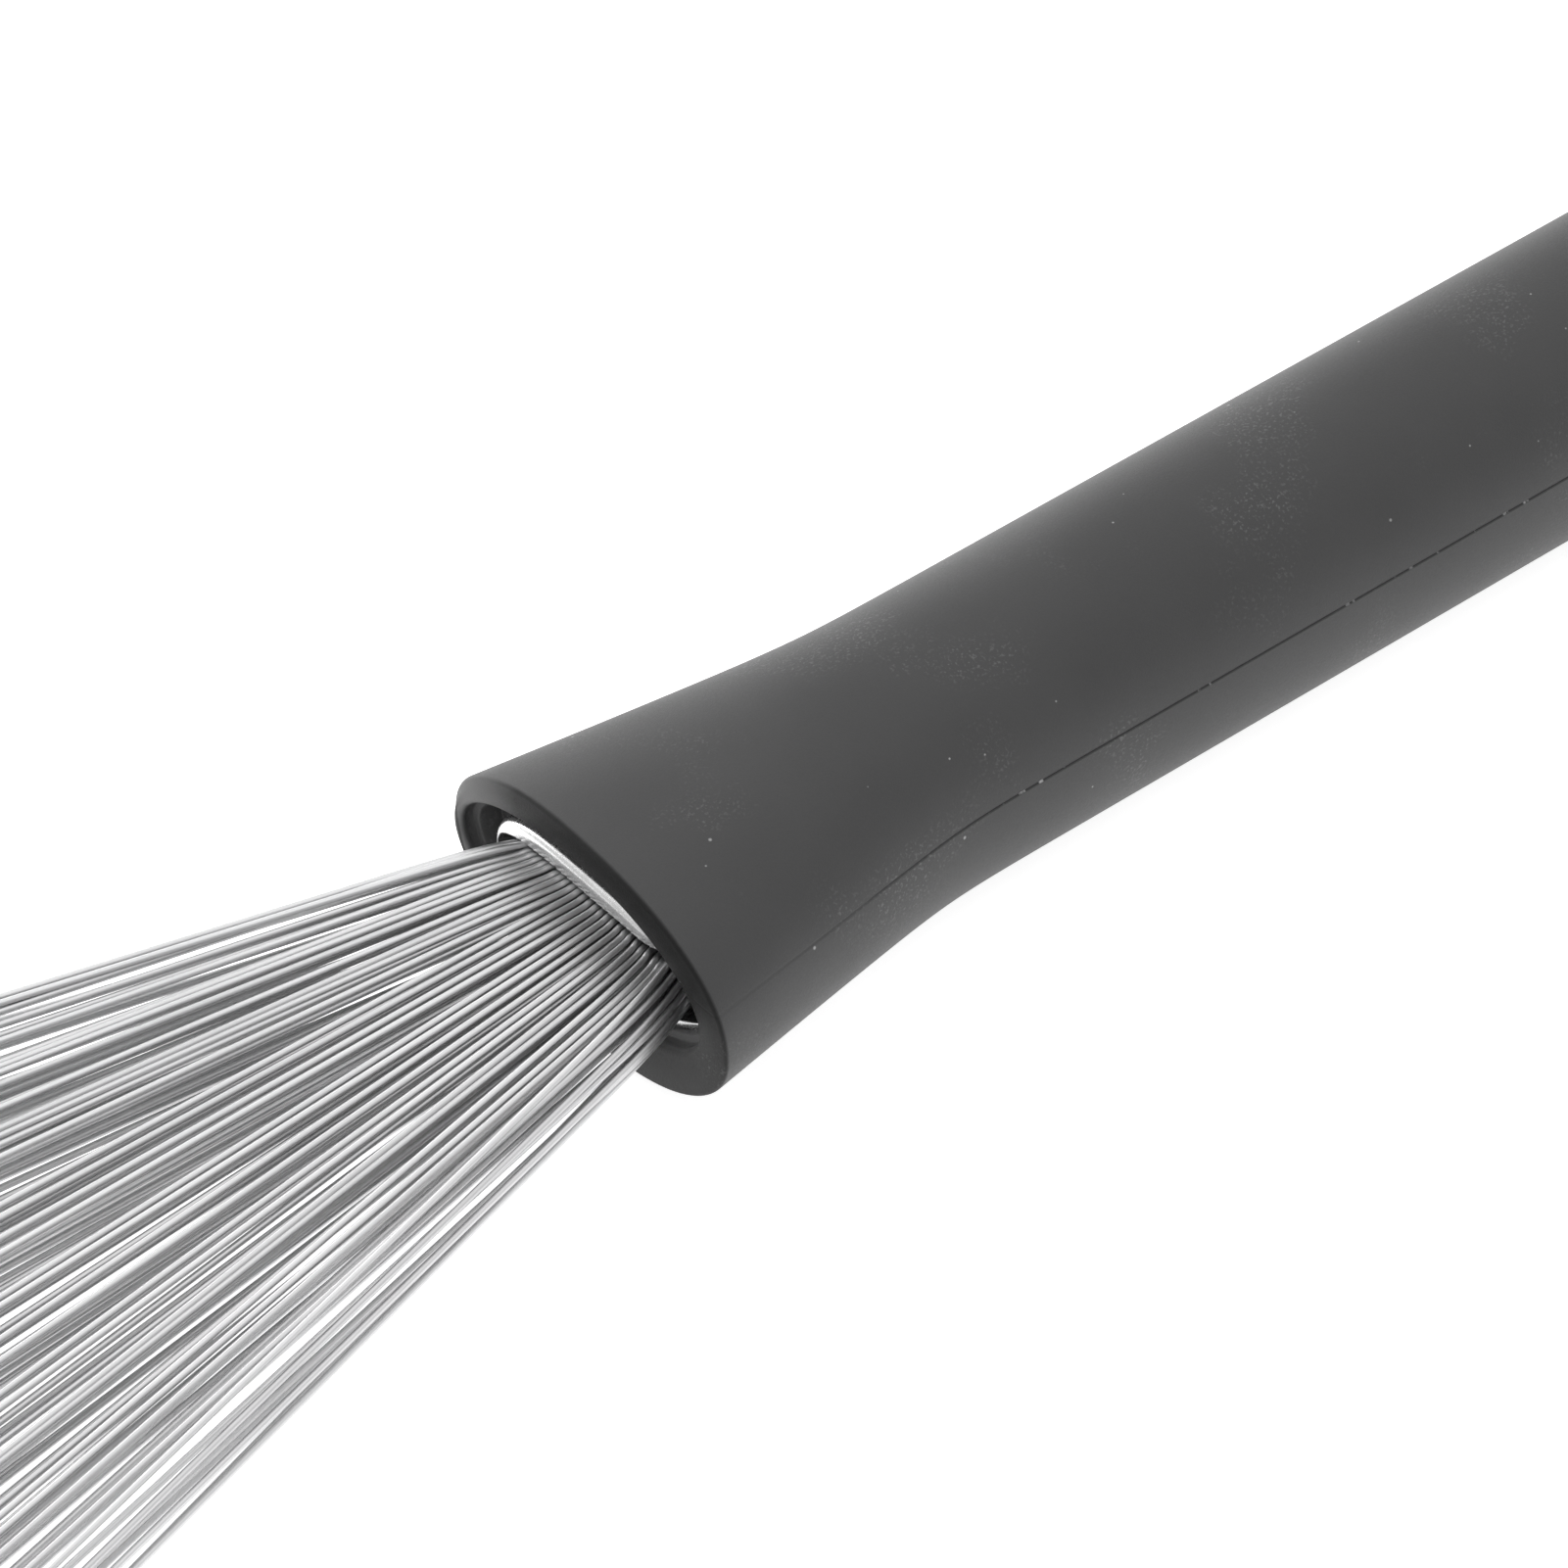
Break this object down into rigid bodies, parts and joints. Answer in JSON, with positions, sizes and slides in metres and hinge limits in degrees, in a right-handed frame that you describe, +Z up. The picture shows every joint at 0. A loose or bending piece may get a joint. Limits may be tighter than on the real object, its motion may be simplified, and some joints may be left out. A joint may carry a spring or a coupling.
{
  "type": "retractable wire drum brush",
  "caption": "Wire drum brush: a flat fan of fine spring wires that slides in and out of a rubber-sleeved tube handle with a flared oval mouth, worked by a pull rod.",
  "frame": {"origin": "on the handle's axis, halfway along the straight round part of the grip", "axes": "+X along the handle's axis towards the wires, +Y across the width of the fan and of the oval mouth, +Z up, square to the fan"},
  "size_m": [0.3116, 0.0776, 0.014],
  "materials": {
    "sleeve_rubber": "matte, very fine grain, mould parting line",
    "tube_metal": "drawn, satin, polished at the flattened mouth",
    "bush_plastic": "natural nylon, satin",
    "seal_rubber": "satin",
    "bumper_rubber": "matte",
    "washer_steel": "bright zinc",
    "cap_metal": "turned, satin",
    "wire_steel": "drawn spring wire, bright",
    "ferrule_brass": "turned, satin",
    "insert_brass": "turned, satin",
    "piston_plastic": "black nylon, satin",
    "rod_steel": "ground, bright",
    "knob_plastic": "black, satin, turned"
  },
  "bodies": {
    "handle": {"rubber_handle": "sleeve_rubber", "inner_tube": "tube_metal", "rear_bush": "bush_plastic", "rod_seal": "seal_rubber", "seal_washer": "washer_steel", "end_cap": "cap_metal"},
    "brush_head": {"wires_upper": "wire_steel", "wires_middle": "wire_steel", "wires_lower": "wire_steel", "wires_left_edge": "wire_steel", "wires_right_edge": "wire_steel", "wire_ferrule": "ferrule_brass", "root_disc": "ferrule_brass", "piston": "piston_plastic", "piston_ring_front": "seal_rubber", "piston_ring_rear": "seal_rubber", "lock_washer": "washer_steel", "lock_nut": "washer_steel", "retract_bumper": "bumper_rubber", "pull_rod": "rod_steel", "knob_bumper": "bumper_rubber", "knob_insert": "insert_brass", "pull_knob": "knob_plastic"}
  },
  "joints": [
    {"name": "brush_slide", "type": "slide", "parent": "handle", "child": "brush_head", "axis": [-1, 0, 0], "range_m": [0, 0.1088], "deforming": ["wires_upper", "wires_middle", "wires_lower", "wires_left_edge", "wires_right_edge"]}
  ]
}
